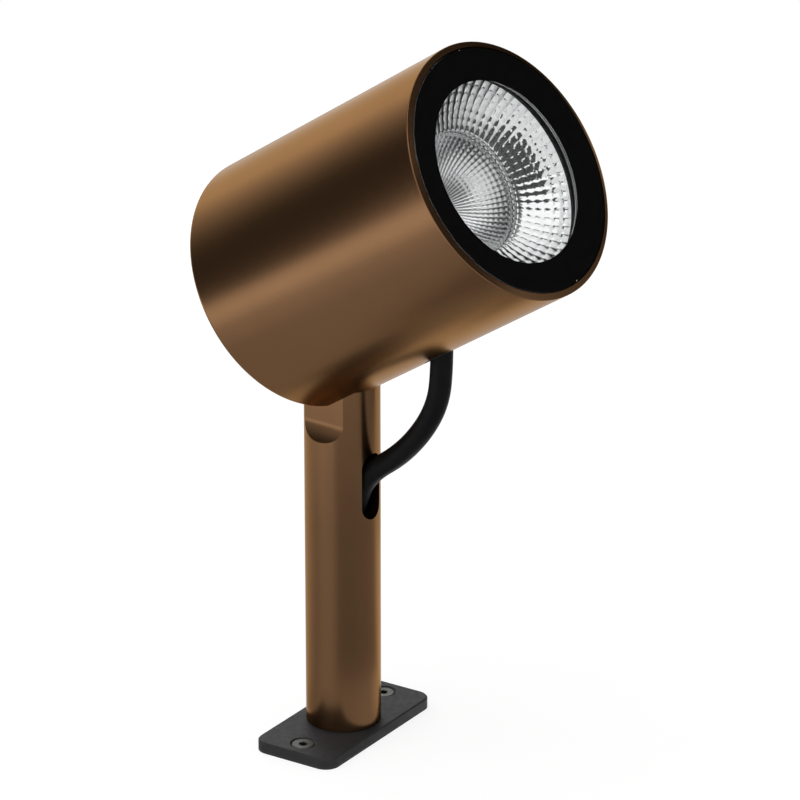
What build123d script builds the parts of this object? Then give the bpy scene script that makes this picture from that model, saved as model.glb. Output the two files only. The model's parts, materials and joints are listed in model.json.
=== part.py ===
"""Landscape spotlight: a base plate, a turning post and a tilting cylindrical lamp head.

Millimetres. +Z is up. The origin is the middle of the base plate's underside, on the post's axis.
The plate's long side lies along X. The lamp aims towards -Y, then the post is turned by PAN about Z.
The head is drawn in its own frame: x to the side, y up across the barrel, z forward along the aim,
with its origin in the middle of the barrel's rear end.
"""

import os
from math import cos, pi, radians, sin, tan

from build123d import *

# Pose of the joints at rest
TILT = 32.5
TILT_TOP = 90.0
PAN = -4.5

# Clearances
FACE_GAP = 0.3
SEAT_GAP = 0.05
PIN_PLAY = 0.05
SLIP_GAP = 0.2
SLOT_GAP = 0.3
END_GAP = 0.4
PAST = 1.0

# Socket keys, as shares of the screw's shank or head
KEY_SHARE = 0.6
KEY_DEPTH_SHARE = 0.45

# Base plate
PLATE_X = 75.0
PLATE_Y = 37.0
PLATE_T = 4.6
PLATE_CORNER = 6.0
PLATE_EDGE = 0.5
BOLT_INSET = 8.5
BOLT_HOLE_D = 5.5
BOLT_SINK_D = 10.6
INLET_D = 10.0

# Spigot that the post turns on
SPIGOT_H = 26.0
SPIGOT_BORE_D = 11.0
SPIGOT_SCREWS = 3
SPIGOT_SCREW_D = 3.0
SPIGOT_SCREW_HEAD_D = 5.8
SPIGOT_SCREW_L = 12.0
GROOVE_Z = 16.0
GROOVE_W = 5.0
GROOVE_DEPTH = 1.6

# Post
POST_D = 30.0
POST_BORE_D = 22.0
POST_BORE_DROP = 37.9
PIVOT_Z = 161.9
TOP_SPARE = 0.2
FLAT_HALF = 11.6
FLAT_DROP = 26.9
RUNOUT_R = 10.0
CABLE_SLOT_W = 11.0
CABLE_SLOT_L = 27.5
CABLE_SLOT_DROP = 40.2
PAN_SCREW_D = 5.0
PAN_SCREW_KEY = 2.5
PAN_SCREW_KEY_DEPTH = 1.7
PAN_SCREW_TIP_D = 3.0
PAN_SCREW_TIP_L = 1.5
PAN_SCREW_SINK = 0.4
PAN_SCREW_ANGLES = (0.0, 85.0)

# Tilt pivot
PIVOT_IN = 10.0
PIVOT_UP = 19.15
BOLT_D = 6.0
BOLT_HEAD_D = 10.0
BOLT_HEAD_H = 5.0
BOLT_KEY = 4.0
BUSH_D = 10.0
BUSH_SPLIT = 0.6
YOKE_WALL = 0.8
YOKE_FRONT = 5.0
YOKE_ROOF = 6.0
SPRING_D = 11.4
SPRING_T = 1.1
SPRING_COUNT = 2
NUT_D = 11.0
NUT_H = 5.0
BOLT_TAIL = 1.5
YOKE_SCREW_D = 4.0
YOKE_SCREW_HEAD_D = 7.6
YOKE_SCREW_L = 12.0
YOKE_SCREW_HEIGHTS = (27.0, 38.0)

# Barrel of the head
HEAD_D = 102.5
HEAD_L = 124.7
REAR_EDGE_R = 1.7
SHELL_WALL = 4.25
SHELL_FRONT_WALL = 2.85
SHELL_MOUTH_WALL = 1.45
SHELL_MOUTH_L = 13.4
REAR_RIM_WALL = 2.25
REAR_SEAT_Z = 4.0
COVER_T = 3.4
BULKHEAD_ROOM = 2.4
BULKHEAD_T = 4.0
SINK_ROOM = 0.8
BOSS_D = 9.0
BOSS_INSET = 4.0
COVER_BOSS_ANGLES = (90.0, 210.0, 330.0)
SINK_BOSS_ANGLES = (45.0, 135.0, 225.0, 315.0)
SINK_BOSS_L = 14.0
HEAD_SCREW_D = 4.0
HEAD_SCREW_HEAD_D = 7.6
HEAD_SCREW_L = 14.0
INNER_SCREW_D = 3.0
INNER_SCREW_HEAD_D = 5.8
INNER_SCREW_L = 10.0
SEAL_W = 2.0
SEAL_DEPTH = 1.4

# Front of the head
RING_FLANGE = 1.3
RING_RISE = 0.9
RING_FACE_W = 2.4
RING_EDGE_R = 0.4
RING_SKIRT_L = 10.0
RING_LEDGE_W = 4.65
GLASS_T = 4.0
GLASS_EDGE = 0.3
BORDER_LAP = 2.8
BORDER_T = 0.2
GASKET_T = 0.5

# Light source and reflector
SINK_T = 5.2
FIN_L = 10.0
FIN_T = 2.2
FIN_PITCH = 6.0
FIN_MARGIN = 0.5
PAD_T = 0.5
LED_BOARD_D = 52.0
LED_BOARD_T = 1.6
EMITTER_D = 10.0
EMITTER_T = 1.2
LED_HOLDER_D = 40.0
LED_HOLDER_T = 2.6
LED_SCREW_L = 8.0
LED_SCREW_HEAD_D = 5.0
LED_SCREW_HEAD_H = 1.6
LED_SCREW_ANGLES = (45.0, 225.0)
HOLDER_GAP = 0.5
HOLDER_WALL = 2.0
HOLDER_LIP = 1.2
REFLECTOR_T = 1.2
REFLECTOR_LIP = 3.0
REFLECTOR_DROP = 4.8
REFLECTOR_FOOT_D = 49.2
REFLECTOR_STEP_D = 47.2
REFLECTOR_THROAT_D = 12.0
REFLECTOR_LIFT = 1.1
FOOT_SHARE = 0.605
STEP_SHARE = 0.50
BOWL_BULGE = 0.06
STEP_BULGE = 0.02
CUP_BULGE = 0.08
RIM_RING_T = 2.4
RIM_RING_W = 4.5

# Driver
BRACKET_T = 1.5
BRACKET_W = 56.0
BRACKET_END = 1.0
BRACKET_LEG = 18.0
BOARD_W = 52.0
BOARD_MARGIN = 0.75
BOARD_T = 1.6
SPACER_D = 6.0
SPACER_H = 3.0
SPACER_INSET = 4.0
COIL_W = 20.0
COIL_H = 15.0
COIL_L = 17.0
WINDING_SHARE = 0.8
CAPACITOR_D = 8.0
CAPACITOR_H = 14.0
CAPACITOR_GAP = 1.0
CAPACITOR_EDGE = 0.7

# Cable and what holds its ends
CABLE_D = 8.8
CABLE_F = 48.4
CABLE_HANG = 26.0
CABLE_BACK = 3.0
CABLE_DROP = 5.4
CABLE_IN = 3.0
RUN_SHARE = 0.45
GLAND_D = 19.0
GLAND_BORE_D = 13.0
GLAND_H = 10.2
GLAND_NUT_H = 4.0
TERMINAL_D = 13.0
TERMINAL_H = 5.0
CONNECTOR_STAND = 1.4
CONNECTOR_D = 13.6
CONNECTOR_L = 17.0
CONNECTOR_NECK_D = 10.2
CONNECTOR_NECK_L = 8.0
CONNECTOR_SOCKET_D = 9.0
CONNECTOR_SOCKET_L = 11.0
CONNECTOR_NUT_L = 7.0

# Sizes worked out from those above
POST_R = POST_D / 2
HEAD_R = HEAD_D / 2
BOLT_SPACING = PLATE_X - 2 * BOLT_INSET
POST_FOOT = PLATE_T + FACE_GAP
POST_BORE_TOP = PIVOT_Z - POST_BORE_DROP
TOP_ROUND = POST_R + TOP_SPARE
FLAT_LOW = PIVOT_Z - FLAT_DROP
CABLE_SLOT_HIGH = PIVOT_Z - CABLE_SLOT_DROP
CABLE_SLOT_LOW = CABLE_SLOT_HIGH - CABLE_SLOT_L
SLOT_HALF = FLAT_HALF + SLOT_GAP
SWING_R = TOP_ROUND + END_GAP
YOKE_SCREW_X = SLOT_HALF + YOKE_SCREW_HEAD_D / 2 + END_GAP
YOKE_HALF = YOKE_SCREW_X + YOKE_SCREW_D / 2 + YOKE_WALL
PIVOT_Y = PIVOT_UP - HEAD_R
YOKE_FRONT_Z = PIVOT_IN + SWING_R + YOKE_FRONT
YOKE_TOP_Y = PIVOT_Y + SWING_R + YOKE_ROOF
SHELL_BORE_D = HEAD_D - 2 * SHELL_WALL
SHELL_FRONT_BORE_D = HEAD_D - 2 * SHELL_FRONT_WALL
SHELL_MOUTH_D = HEAD_D - 2 * SHELL_MOUTH_WALL
REAR_SEAT_D = HEAD_D - 2 * REAR_RIM_WALL
BOSS_R = SHELL_BORE_D / 2 - BOSS_INSET
COVER_Z = REAR_SEAT_Z - COVER_T
BULKHEAD_Z = YOKE_FRONT_Z + BULKHEAD_ROOM
BULKHEAD_FRONT_Z = BULKHEAD_Z + BULKHEAD_T
RING_Z = HEAD_L - RING_FLANGE
FRONT_Z = HEAD_L + RING_RISE
GLASS_POCKET_D = HEAD_D - 2 * RING_FACE_W
GLASS_D = GLASS_POCKET_D - 2 * SLIP_GAP
GLASS_Z = FRONT_Z - GLASS_T
BORDER_Z = GLASS_Z - BORDER_T
GASKET_Z = BORDER_Z - GASKET_T
RING_SKIRT_D = SHELL_MOUTH_D - 2 * SEAT_GAP
RING_SEAL_Z = RING_Z - RING_SKIRT_L + SEAL_W
RING_LEDGE_D = GLASS_D - 2 * RING_LEDGE_W
HOLDER_D = RING_LEDGE_D - 2 * HOLDER_GAP
RIM_RING_D = HOLDER_D - 2 * RIM_RING_W
REFLECTOR_RIM_D = HOLDER_D - 2 * REFLECTOR_LIP
WINDOW_D = RIM_RING_D - 2 * BORDER_LAP

# Cable heights beside the upright post, and the heat sink's seat in front of the cable's end
ENTRY_Z = PIVOT_Z + (CABLE_F * sin(radians(TILT)) - PIVOT_UP) / cos(radians(TILT))
GLAND_TOP_Z = ENTRY_Z + GLAND_H
TERMINAL_Z = GLAND_TOP_Z + GLAND_NUT_H
TERMINAL_TOP_Z = TERMINAL_Z + TERMINAL_H
CABLE_TOP_Z = TERMINAL_Z + CABLE_IN
CABLE_BEND_Z = ENTRY_Z - CABLE_HANG
CABLE_DROP_Z = CABLE_SLOT_LOW + CABLE_DROP
CONNECTOR_LOW_Z = PLATE_T + SPIGOT_H + CONNECTOR_STAND
CONNECTOR_NECK_Z = CONNECTOR_LOW_Z + CONNECTOR_L
CABLE_LOW_Z = CONNECTOR_NECK_Z + CONNECTOR_NECK_L / 2
TERMINAL_FRONT = (CABLE_F + TERMINAL_D / 2) * cos(radians(TILT))
TERMINAL_FRONT += (TERMINAL_TOP_Z - PIVOT_Z) * sin(radians(TILT))
SINK_SEAT_Z = PIVOT_IN + TERMINAL_FRONT + SINK_ROOM

# Light source, reflector and driver along the barrel
FIN_FIELD_D = 2 * (BOSS_R - BOSS_D / 2 - FIN_MARGIN)
SINK_FRONT_Z = SINK_SEAT_Z + SINK_T
LED_Z = SINK_FRONT_Z + PAD_T
EMITTER_Z = LED_Z + LED_BOARD_T
RIM_RING_Z = GASKET_Z - RIM_RING_T
RIM_Z = RIM_RING_Z - REFLECTOR_DROP
FLANGE_Z = RIM_Z - REFLECTOR_T
THROAT_Z = EMITTER_Z + LED_HOLDER_T + REFLECTOR_LIFT
BRACKET_L = SINK_SEAT_Z - FIN_L - BULKHEAD_FRONT_Z - BRACKET_END
BOARD_L = BRACKET_L - BRACKET_T - 2 * BOARD_MARGIN

# Frames: the post's turn, and the head on its pivot
AIM = (0.0, -cos(radians(TILT)), sin(radians(TILT)))
RISE = (0.0, sin(radians(TILT)), cos(radians(TILT)))
REAR_CENTRE = tuple(
    p - PIVOT_IN * a - PIVOT_Y * r for p, a, r in zip((0.0, 0.0, PIVOT_Z), AIM, RISE)
)
TURN = Rot(0, 0, PAN)
HEAD = Plane(origin=REAR_CENTRE, x_dir=(1, 0, 0), z_dir=AIM).location
SIDE_SKETCH = Plane(origin=(0, 0, 0), x_dir=(0, 0, 1), z_dir=(-1, 0, 0))
LOW = (Align.CENTER, Align.CENTER, Align.MIN)


def disc(diameter, low, high):
    """Round slab about Z between two heights."""
    return Pos(0, 0, low) * Cylinder(diameter / 2, high - low, align=LOW)


def ring(outer, inner, low, high):
    """Round ring about Z between two heights."""
    return disc(outer, low, high) - disc(inner, low - PAST, high + PAST)


def block(width, depth, low, high):
    """Box about Z between two heights."""
    return Pos(0, 0, low) * Box(width, depth, high - low, align=LOW)


def polar(angle, radius, height):
    """Place on a circle about Z."""
    return Rot(0, 0, angle) * Pos(radius, 0, height)


def hex_socket(across, depth):
    """Six-sided recess that opens at the origin's plane and goes down."""
    return extrude(RegularPolygon(across / 2, 6, major_radius=False), -depth)


def sunk_cone(shank_d, head_d):
    """Ninety-degree countersink whose wide end is at the origin's plane."""
    height = (head_d - shank_d) / 2
    return Cone(shank_d / 2, head_d / 2, height, align=(Align.CENTER, Align.CENTER, Align.MAX))


def sunk_screw(shank_d, head_d, length):
    """Countersunk socket screw, its head flush with the origin's plane, pointing down."""
    body = disc(shank_d, -length, 0) + sunk_cone(shank_d, head_d)
    return body - hex_socket(shank_d * KEY_SHARE, shank_d * KEY_DEPTH_SHARE)


def sunk_hole(shank_d, head_d, length):
    """Room for a countersunk screw."""
    clear = 2 * SEAT_GAP
    return disc(shank_d + clear, -length - PAST, 0) + sunk_cone(shank_d + clear, head_d + clear)


def screw_hole(shank_d, length):
    """Room for a screw's shank, down from the origin's plane."""
    return disc(shank_d + 2 * SEAT_GAP, -length - PAST, 0)


def upright(solid):
    """Bring a solid that was drawn beside the upright post into the head's own frame."""
    return HEAD.inverse() * solid


def beside_post(y, z, tilt):
    """Point beside the post, measured from the pivot, in the head's side view at a given tilt."""
    along = z * sin(radians(tilt)) - y * cos(radians(tilt))
    across = y * sin(radians(tilt)) + z * cos(radians(tilt))
    return Vector(PIVOT_IN + along, PIVOT_Y + across)


def swing_room():
    """Room in the head for the post's top, from the lowest tilt to the highest."""
    centre = Vector(PIVOT_IN, PIVOT_Y)
    front_low = beside_post(-SWING_R, -HEAD_R, TILT)
    front_high = beside_post(-SWING_R, 0, TILT)
    top_front = beside_post(SWING_R, 0, TILT_TOP)
    top_back = beside_post(SWING_R, -HEAD_R, TILT_TOP)
    crest = centre + ((front_high + top_front) * 0.5 - centre).normalized() * SWING_R
    corner = Vector(top_back.X, front_low.Y)
    outline = Polyline(top_front, top_back, corner, front_low, front_high)
    outline += ThreePointArc(front_high, crest, top_front)
    return extrude(SIDE_SKETCH * make_face(outline), SLOT_HALF, both=True)


def cable_route():
    """Corners of the cable's path beside the upright post, from the head to the connector."""
    return [
        Vector(0, -CABLE_F, CABLE_TOP_Z),
        Vector(0, -CABLE_F, CABLE_BEND_Z),
        Vector(0, CABLE_BACK, CABLE_DROP_Z),
        Vector(0, CABLE_BACK, CABLE_LOW_Z),
    ]


# Base
def base_plate():
    plate = extrude(RectangleRounded(PLATE_X, PLATE_Y, PLATE_CORNER), PLATE_T)
    plate = chamfer(plate.faces().sort_by(Axis.Z)[-1].edges(), PLATE_EDGE)
    for side in (-1, 1):
        place = Pos(side * BOLT_SPACING / 2, 0, PLATE_T)
        plate -= place * disc(BOLT_HOLE_D, -PLATE_T - PAST, 0)
        plate -= place * sunk_cone(BOLT_HOLE_D, BOLT_SINK_D)
    plate -= disc(INLET_D, -PAST, PLATE_T + PAST)
    for place in spigot_screw_places():
        plate -= place * sunk_hole(SPIGOT_SCREW_D, SPIGOT_SCREW_HEAD_D, PLATE_T)
    return plate


def spigot_screw_places():
    """Screws point up from the plate's underside."""
    pitch_r = (SPIGOT_BORE_D + POST_BORE_D) / 4
    angles = [90 + i * 360 / SPIGOT_SCREWS for i in range(SPIGOT_SCREWS)]
    return [polar(angle, pitch_r, 0) * Rot(180, 0, 0) for angle in angles]


def post_spigot():
    outer = POST_BORE_D - 2 * PIN_PLAY
    spigot = ring(outer, SPIGOT_BORE_D, PLATE_T, PLATE_T + SPIGOT_H)
    floor = outer - 2 * GROOVE_DEPTH
    spigot -= ring(outer + PAST, floor, GROOVE_Z - GROOVE_W / 2, GROOVE_Z + GROOVE_W / 2)
    for place in spigot_screw_places():
        spigot -= place * screw_hole(SPIGOT_SCREW_D, SPIGOT_SCREW_L)
    return spigot


def spigot_screws():
    screw = sunk_screw(SPIGOT_SCREW_D, SPIGOT_SCREW_HEAD_D, SPIGOT_SCREW_L)
    return [place * screw for place in spigot_screw_places()]


# Post
def post():
    top = PIVOT_Z + TOP_ROUND
    wide = POST_D + 2 * PAST
    body = disc(POST_D, POST_FOOT, top)
    across = Rot(0, 90, 0) * Cylinder(TOP_ROUND, wide)
    body -= block(wide, wide, PIVOT_Z, top + PAST) - Pos(0, 0, PIVOT_Z) * across
    body -= disc(POST_BORE_D, 0, POST_BORE_TOP)
    for side in (-1, 1):
        body -= Pos(side * (FLAT_HALF + POST_R / 2), 0, 0) * block(POST_R, wide, FLAT_LOW, top + PAST)
        mill = Rot(90, 0, 0) * Cylinder(RUNOUT_R, wide)
        body -= Pos(side * (FLAT_HALF + RUNOUT_R), 0, FLAT_LOW) * mill
    body -= Pos(0, 0, PIVOT_Z) * Rot(0, 90, 0) * Cylinder(BUSH_D / 2 + SEAT_GAP, wide)
    body -= cable_slot()
    for place in pan_screw_places():
        body -= place * disc(PAN_SCREW_D + 2 * SEAT_GAP, -POST_R, PAST)
    return body


def cable_slot():
    """Upright slot with round ends through the post's front wall."""
    middle = (CABLE_SLOT_LOW + CABLE_SLOT_HIGH) / 2
    outline = SlotOverall(CABLE_SLOT_L, CABLE_SLOT_W, rotation=90)
    return extrude(Plane(origin=(0, 0, middle), x_dir=(1, 0, 0), z_dir=(0, -1, 0)) * outline, POST_D)


def pan_screw_places():
    """Grub screws point inwards from the post's surface at the groove's height."""
    return [polar(angle, POST_R, GROOVE_Z) * Rot(0, 90, 0) for angle in PAN_SCREW_ANGLES]


def pan_screws():
    floor_r = POST_BORE_D / 2 - PIN_PLAY - GROOVE_DEPTH
    tip = floor_r + FACE_GAP - POST_R
    screw = disc(PAN_SCREW_D, tip + PAN_SCREW_TIP_L, -PAN_SCREW_SINK)
    screw += disc(PAN_SCREW_TIP_D, tip, tip + PAN_SCREW_TIP_L)
    screw -= Pos(0, 0, -PAN_SCREW_SINK) * hex_socket(PAN_SCREW_KEY, PAN_SCREW_KEY_DEPTH)
    return [place * screw for place in pan_screw_places()]


def pivot_bushes():
    bush = ring(BUSH_D, BOLT_D + 2 * PIN_PLAY, BUSH_SPLIT / 2, FLAT_HALF)
    return [Pos(0, 0, PIVOT_Z) * Rot(0, turn, 0) * bush for turn in (90, -90)]


# Cable
def cable():
    route = cable_route()
    radii = []
    for before, corner, after in zip(route, route[1:], route[2:]):
        half_turn = radians((corner - before).get_angle(after - corner)) / 2
        shorter = min((corner - before).length, (after - corner).length)
        radii.append(RUN_SHARE * shorter / tan(half_turn))
    path = FilletPolyline(*route, radius=radii)
    tube = sweep(Plane(origin=path @ 0, z_dir=path % 0) * Circle(CABLE_D / 2), path)
    section = pi * CABLE_D**2 / 4
    print("cable radii", [round(r, 1) for r in radii], "length", round(path.length, 1))
    print("cable volume over section times length", round(tube.volume / (section * path.length), 5))
    return tube


def cable_connector():
    """Plug half that ends the cable inside the post, with a socket below for the supply lead."""
    top = CONNECTOR_NECK_Z + CONNECTOR_NECK_L
    body = disc(CONNECTOR_D, CONNECTOR_LOW_Z, CONNECTOR_NECK_Z)
    body += disc(CONNECTOR_NECK_D, CONNECTOR_NECK_Z, top)
    body -= disc(CABLE_D + 2 * SEAT_GAP, CABLE_LOW_Z, top + PAST)
    body -= disc(CONNECTOR_SOCKET_D, CONNECTOR_LOW_Z - PAST, CONNECTOR_LOW_Z + CONNECTOR_SOCKET_L)
    return Pos(0, CABLE_BACK, 0) * body


def connector_nut():
    nut = extrude(RegularPolygon(CONNECTOR_D / 2, 6), CONNECTOR_NUT_L)
    nut -= disc(CONNECTOR_NECK_D + 2 * SEAT_GAP, -PAST, CONNECTOR_NUT_L + PAST)
    return Pos(0, CABLE_BACK, CONNECTOR_NECK_Z) * nut


# Head: shell and covers
def head_shell():
    shell = disc(HEAD_D, 0, RING_Z)
    shell = fillet(shell.edges().filter_by(GeomType.CIRCLE).sort_by(Axis.Z)[0], REAR_EDGE_R)
    shell -= disc(REAR_SEAT_D, -PAST, REAR_SEAT_Z)
    shell -= disc(SHELL_BORE_D, REAR_SEAT_Z - PAST, SINK_SEAT_Z + PAST)
    shell -= disc(SHELL_FRONT_BORE_D, SINK_SEAT_Z, RING_Z + PAST)
    shell -= disc(SHELL_MOUTH_D, RING_Z - SHELL_MOUTH_L, RING_Z + PAST)
    for angle in COVER_BOSS_ANGLES:
        shell += boss(angle, REAR_SEAT_Z, BULKHEAD_Z)
    for angle in SINK_BOSS_ANGLES:
        shell += boss(angle, SINK_SEAT_Z - SINK_BOSS_L, SINK_SEAT_Z)
    shell += entry_boss()
    shell -= upright(Pos(0, -CABLE_F, 0) * disc(GLAND_BORE_D, PIVOT_Z - HEAD_R, GLAND_TOP_Z + PAST))
    for place in cover_screw_places():
        shell -= place * screw_hole(HEAD_SCREW_D, HEAD_SCREW_L)
    for place in bulkhead_screw_places() + sink_screw_places():
        shell -= place * screw_hole(INNER_SCREW_D, INNER_SCREW_L)
    return shell - swing_room()


def boss(angle, low, high):
    """Screw boss along the inside of the barrel, joined to its wall."""
    column = polar(angle, BOSS_R, 0) * disc(BOSS_D, low, high)
    return column & disc(HEAD_D - SHELL_WALL, low - PAST, high + PAST)


def entry_boss():
    """Upright boss inside the barrel that the cable comes through."""
    column = upright(Pos(0, -CABLE_F, 0) * disc(GLAND_D, PIVOT_Z - HEAD_R, GLAND_TOP_Z))
    return column & disc(HEAD_D - SHELL_WALL, 0, HEAD_L)


def cover_screw_places():
    return [polar(angle, BOSS_R, COVER_Z) * Rot(180, 0, 0) for angle in COVER_BOSS_ANGLES]


def bulkhead_screw_places():
    return [polar(angle, BOSS_R, BULKHEAD_FRONT_Z) for angle in COVER_BOSS_ANGLES]


def sink_screw_places():
    return [polar(angle, BOSS_R, SINK_FRONT_Z) for angle in SINK_BOSS_ANGLES]


def yoke_screw_places():
    """Screws point forwards from the rear cover's face into the yoke's cheeks."""
    return [
        Pos(sign * YOKE_SCREW_X, height - HEAD_R, COVER_Z) * Rot(180, 0, 0)
        for sign in (-1, 1)
        for height in YOKE_SCREW_HEIGHTS
    ]


def rear_cover():
    cover = disc(REAR_SEAT_D - 2 * SLIP_GAP, COVER_Z, REAR_SEAT_Z)
    for place in cover_screw_places():
        cover -= place * sunk_hole(HEAD_SCREW_D, HEAD_SCREW_HEAD_D, COVER_T)
    for place in yoke_screw_places():
        cover -= place * sunk_hole(YOKE_SCREW_D, YOKE_SCREW_HEAD_D, COVER_T)
    return cover - swing_room()


def rear_cover_screws():
    screw = sunk_screw(HEAD_SCREW_D, HEAD_SCREW_HEAD_D, HEAD_SCREW_L)
    return [place * screw for place in cover_screw_places()]


# Head: tilt pivot
def pivot_yoke():
    body = Pos(0, YOKE_TOP_Y - HEAD_R / 2, 0) * block(2 * YOKE_HALF, HEAD_R, REAR_SEAT_Z, YOKE_FRONT_Z)
    body &= disc(SHELL_BORE_D - 2 * SLIP_GAP, 0, YOKE_FRONT_Z)
    body -= swing_room()
    body -= pivot_rod(BOLT_D + 2 * PIN_PLAY, -HEAD_R, HEAD_R)
    for place in yoke_screw_places():
        body -= place * screw_hole(YOKE_SCREW_D, YOKE_SCREW_L)
    return body


def yoke_screws():
    screw = sunk_screw(YOKE_SCREW_D, YOKE_SCREW_HEAD_D, YOKE_SCREW_L)
    return [place * screw for place in yoke_screw_places()]


def pivot_rod(diameter, left, right):
    """Round bar on the pivot's axis between two places across the head."""
    return Pos(0, PIVOT_Y, PIVOT_IN) * Rot(0, 90, 0) * disc(diameter, left, right)


def pivot_bolt():
    tail = YOKE_HALF + SPRING_COUNT * SPRING_T + NUT_H + BOLT_TAIL
    bolt = pivot_rod(BOLT_D, -YOKE_HALF, tail)
    bolt += pivot_rod(BOLT_HEAD_D, -YOKE_HALF - BOLT_HEAD_H, -YOKE_HALF)
    key = Rot(0, -90, 0) * hex_socket(BOLT_KEY, BOLT_HEAD_H * KEY_SHARE)
    return bolt - Pos(-YOKE_HALF - BOLT_HEAD_H, PIVOT_Y, PIVOT_IN) * key


def disc_springs():
    """Coned washers that keep the pivot stiff, drawn pressed flat."""
    springs = []
    for i in range(SPRING_COUNT):
        low = YOKE_HALF + i * SPRING_T
        solid = pivot_rod(SPRING_D, low, low + SPRING_T)
        springs.append(solid - pivot_rod(BOLT_D + 2 * SLIP_GAP, low - PAST, low + SPRING_T + PAST))
    return springs


def pivot_nut():
    low = YOKE_HALF + SPRING_COUNT * SPRING_T
    nut = Pos(low, PIVOT_Y, PIVOT_IN) * Rot(0, 90, 0) * extrude(RegularPolygon(NUT_D / 2, 6), NUT_H)
    return nut - pivot_rod(BOLT_D + 2 * SEAT_GAP, low - PAST, low + NUT_H + PAST)


# Head: sealed compartment and driver
def bulkhead():
    plate = disc(SHELL_BORE_D - 2 * SLIP_GAP, BULKHEAD_Z, BULKHEAD_FRONT_Z)
    plate -= seal_groove(SHELL_BORE_D - 2 * SLIP_GAP, BULKHEAD_Z + (BULKHEAD_T - SEAL_W) / 2)
    for place in bulkhead_screw_places():
        plate -= place * sunk_hole(INNER_SCREW_D, INNER_SCREW_HEAD_D, BULKHEAD_T)
    return plate


def seal_groove(outer, low):
    return ring(outer + PAST, outer - 2 * SEAL_DEPTH, low, low + SEAL_W)


def bulkhead_seal():
    outer = SHELL_BORE_D - 2 * SLIP_GAP
    low = BULKHEAD_Z + (BULKHEAD_T - SEAL_W) / 2
    return ring(SHELL_BORE_D, outer - 2 * SEAL_DEPTH, low, low + SEAL_W)


def bulkhead_screws():
    screw = sunk_screw(INNER_SCREW_D, INNER_SCREW_HEAD_D, INNER_SCREW_L)
    return [place * screw for place in bulkhead_screw_places()]


def driver_bracket():
    """Angle bracket on the bulkhead: an upright leg, and a shelf that carries the driver board."""
    leg = Pos(0, BRACKET_LEG / 2, 0) * block(
        BRACKET_W, BRACKET_LEG, BULKHEAD_FRONT_Z, BULKHEAD_FRONT_Z + BRACKET_T
    )
    shelf = Pos(0, BRACKET_T / 2, 0) * block(
        BRACKET_W, BRACKET_T, BULKHEAD_FRONT_Z, BULKHEAD_FRONT_Z + BRACKET_L
    )
    return leg + shelf


def board_level():
    """Height of the driver board's underside above the barrel's axis."""
    return BRACKET_T + SPACER_H


def board_middle():
    """Place of the driver board's middle along the barrel."""
    return BULKHEAD_FRONT_Z + BRACKET_T + (BRACKET_L - BRACKET_T) / 2


def driver_board():
    return Pos(0, board_level() + BOARD_T / 2, board_middle()) * Box(BOARD_W, BOARD_T, BOARD_L)


def board_spacers():
    spacer = Rot(-90, 0, 0) * disc(SPACER_D, BRACKET_T, board_level())
    across = BOARD_W / 2 - SPACER_INSET
    along = BOARD_L / 2 - SPACER_INSET
    return [Pos(i * across, 0, board_middle() + j * along) * spacer for i in (-1, 1) for j in (-1, 1)]


def transformer():
    middle = Pos(0, board_level() + BOARD_T + COIL_H / 2, board_middle())
    core = middle * Box(COIL_W, COIL_H, COIL_L)
    window = middle * Box(COIL_W / 2, COIL_H / 2, COIL_L + PAST)
    winding = middle * Box(COIL_W / 2, COIL_H / 2, COIL_L * WINDING_SHARE)
    return (core - window) + winding


def capacitors():
    base = board_level() + BOARD_T
    can = Rot(-90, 0, 0) * disc(CAPACITOR_D, base, base + CAPACITOR_H)
    can = fillet(can.edges().filter_by(GeomType.CIRCLE), CAPACITOR_EDGE)
    across = COIL_W / 2 + CAPACITOR_GAP + CAPACITOR_D / 2
    along = (CAPACITOR_D + CAPACITOR_GAP) / 2
    return [Pos(i * across, 0, board_middle() + j * along) * can for i in (-1, 1) for j in (-1, 1)]


# Head: cable entry
def cable_seal():
    """Rubber sleeve round the cable, flush with the barrel outside."""
    sleeve = ring(GLAND_BORE_D - 2 * SEAT_GAP, CABLE_D + 2 * SEAT_GAP, PIVOT_Z - HEAD_R, GLAND_TOP_Z)
    return upright(Pos(0, -CABLE_F, 0) * sleeve) & disc(HEAD_D, 0, HEAD_L)


def gland_nut():
    nut = extrude(RegularPolygon(GLAND_D / 2, 6), GLAND_NUT_H)
    nut -= disc(CABLE_D + 2 * SLIP_GAP, -PAST, GLAND_NUT_H + PAST)
    return upright(Pos(0, -CABLE_F, GLAND_TOP_Z) * nut)


def cable_terminal():
    """Terminal cap on the gland that the cable's end sits in."""
    cap = disc(TERMINAL_D, TERMINAL_Z, TERMINAL_TOP_Z)
    cap -= disc(CABLE_D + 2 * SEAT_GAP, TERMINAL_Z - PAST, CABLE_TOP_Z)
    return upright(Pos(0, -CABLE_F, 0) * cap)


# Head: light source
def heat_sink():
    sink = disc(SHELL_FRONT_BORE_D - 2 * SLIP_GAP, SINK_SEAT_Z, SINK_FRONT_Z)
    field = disc(FIN_FIELD_D, SINK_SEAT_Z - FIN_L, SINK_SEAT_Z)
    count = int(FIN_FIELD_D / 2 / FIN_PITCH)
    for i in range(-count, count + 1):
        slab = Pos(i * FIN_PITCH, 0, 0) * block(FIN_T, HEAD_D, SINK_SEAT_Z - FIN_L, SINK_SEAT_Z)
        sink += slab & field
    room = TERMINAL_D + 2 * END_GAP
    sink -= Pos(0, -HEAD_R + room, 0) * block(room, 2 * room, SINK_SEAT_Z - FIN_L - PAST, SINK_SEAT_Z)
    for place in sink_screw_places():
        sink -= place * sunk_hole(INNER_SCREW_D, INNER_SCREW_HEAD_D, SINK_T)
    for place in led_screw_places():
        sink -= place * screw_hole(INNER_SCREW_D, LED_SCREW_L)
    return sink


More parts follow.
